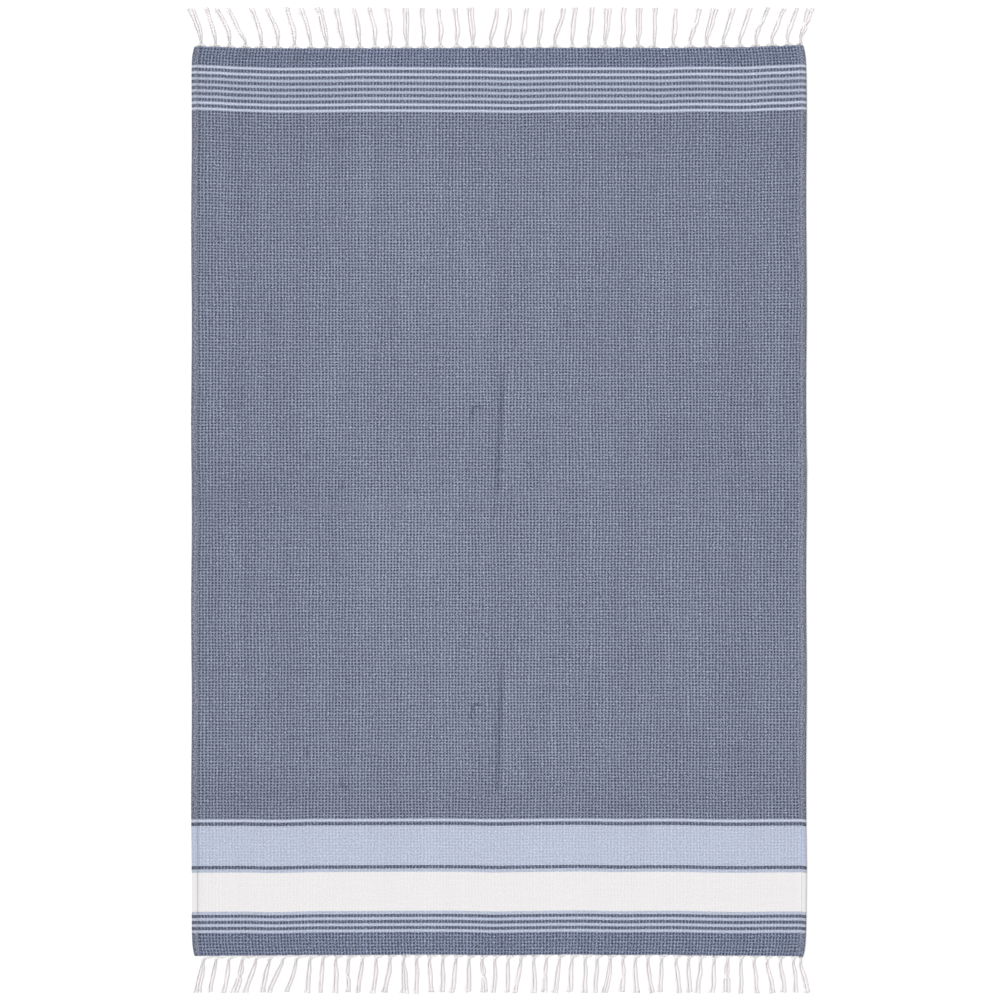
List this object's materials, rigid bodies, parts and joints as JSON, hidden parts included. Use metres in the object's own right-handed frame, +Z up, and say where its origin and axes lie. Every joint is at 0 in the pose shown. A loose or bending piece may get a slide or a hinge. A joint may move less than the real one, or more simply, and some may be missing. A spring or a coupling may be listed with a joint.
{
  "type": "hammam towel",
  "caption": "Flat-woven bath towel laid out flat, with turned side hems and a knotted tassel fringe along each end.",
  "frame": {"origin": "on the floor, under the middle of the towel", "axes": "+X across the width, +Y along the length towards the end with the thin stripes, +Z up from the floor"},
  "size_m": [1.0248, 1.6064, 0.0041],
  "materials": {
    "weave": "flat-woven cotton, small dark pits in a lighter grey-blue grid, with pale stripes at one end and a blue and a white band at the other",
    "yarn": "undyed white cotton yarn, knotted into tassels"
  },
  "bodies": {
    "root": {"cloth": "weave", "fringe_top": "yarn", "fringe_bottom": "yarn"}
  },
  "joints": []
}
